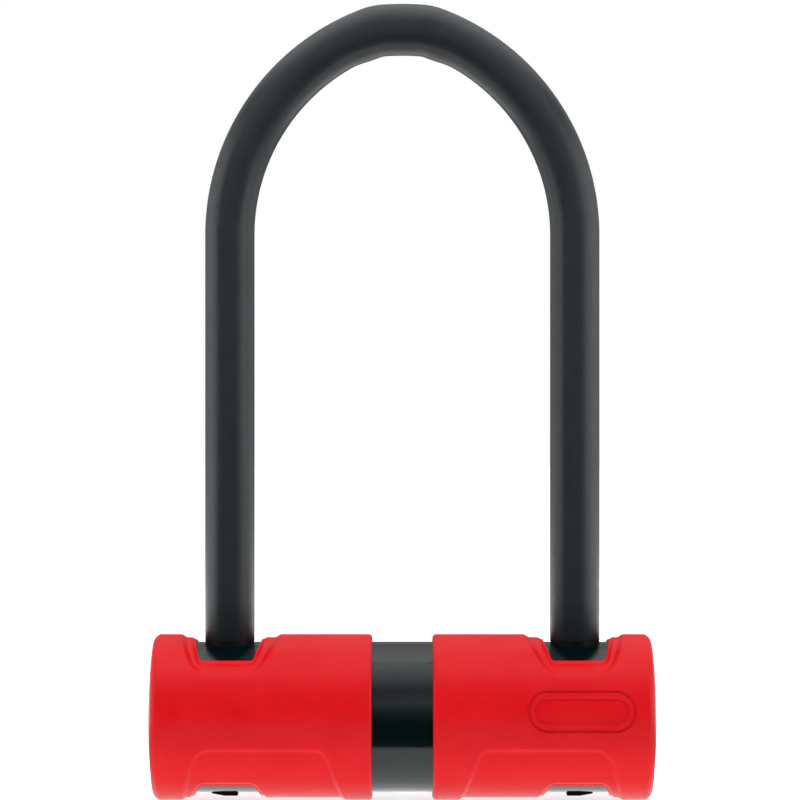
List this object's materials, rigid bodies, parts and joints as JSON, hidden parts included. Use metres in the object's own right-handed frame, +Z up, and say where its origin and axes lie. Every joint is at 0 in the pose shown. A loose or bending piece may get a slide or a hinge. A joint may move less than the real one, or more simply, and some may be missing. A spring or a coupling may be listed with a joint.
{
  "type": "u lock",
  "caption": "Heavy U lock: a coated shackle whose legs enter a thick round crossbar, bolted inside from a keyed cylinder in its middle, with a moulded cap on each end.",
  "frame": {"origin": "centre of the crossbar: on its axis, in the middle of the bare black band", "axes": "+X along the bar towards the cap whose badge field is in front, +Z up along the legs to the crown, front faces -Y"},
  "size_m": [0.1684, 0.055, 0.2649],
  "materials": {
    "hardened_steel": "ground and hardened, satin",
    "black_coating": "soft satin vinyl",
    "black_enamel": "gloss black enamel",
    "red_cap_plastic": "semi-gloss moulded",
    "black_plastic": "matt moulded",
    "cast_case": "as cast",
    "brass": "turned",
    "seal_rubber": "matt",
    "zinc_plated_steel": "zinc plated"
  },
  "bodies": {
    "crossbar": {"crossbar_tube": "black_enamel", "right_end_cap": "red_cap_plastic", "left_end_cap": "red_cap_plastic", "right_end_plate": "hardened_steel", "left_end_plate": "hardened_steel", "right_end_pins": "hardened_steel", "left_end_pins": "hardened_steel", "right_socket_block": "hardened_steel", "left_socket_block": "hardened_steel", "right_entry_seal": "seal_rubber", "left_entry_seal": "seal_rubber", "right_cap_catch": "black_plastic", "left_cap_catch": "black_plastic", "right_bolt_sleeve": "hardened_steel", "left_bolt_sleeve": "hardened_steel", "case_base": "cast_case", "case_lid": "cast_case", "case_screws": "zinc_plated_steel", "cylinder_body": "brass", "cylinder_pin": "hardened_steel", "keyhole_escutcheon": "black_plastic"},
    "shackle": {"shackle_bar": "hardened_steel", "shackle_coating": "black_coating"},
    "lock_core": {"cylinder_plug": "brass", "drill_guard": "hardened_steel", "detainer_discs": "brass", "disc_spacers": "zinc_plated_steel", "sidebar": "hardened_steel", "drive_cam": "hardened_steel", "cam_screw": "zinc_plated_steel"},
    "right_bolt": {"right_bolt": "hardened_steel", "right_bolt_pin": "hardened_steel"},
    "left_bolt": {"left_bolt": "hardened_steel", "left_bolt_pin": "hardened_steel"},
    "shutter": {"keyhole_shutter": "zinc_plated_steel"}
  },
  "joints": [
    {"name": "shackle_lift", "type": "slide", "parent": "crossbar", "child": "shackle", "axis": [0, 0, 1], "range_m": [0, 0.06]},
    {"name": "plug_turn", "type": "hinge", "parent": "crossbar", "child": "lock_core", "pos_m": [0, 0, 0], "axis": [0, 0, 1], "range_deg": [0, 90]},
    {"name": "right_bolt_slide", "type": "slide", "parent": "crossbar", "child": "right_bolt", "axis": [1, 0, 0], "range_m": [0, 0.00601]},
    {"name": "left_bolt_slide", "type": "slide", "parent": "crossbar", "child": "left_bolt", "axis": [-1, 0, 0], "range_m": [0, 0.00601]},
    {"name": "shutter_slide", "type": "slide", "parent": "crossbar", "child": "shutter", "axis": [1, 0, 0], "range_m": [0, 0.005]}
  ],
  "couplings": [
    {"joint": "right_bolt_slide", "follows": "plug_turn", "m_per_rad": 0.0038197},
    {"joint": "left_bolt_slide", "follows": "plug_turn", "m_per_rad": 0.0038197}
  ]
}
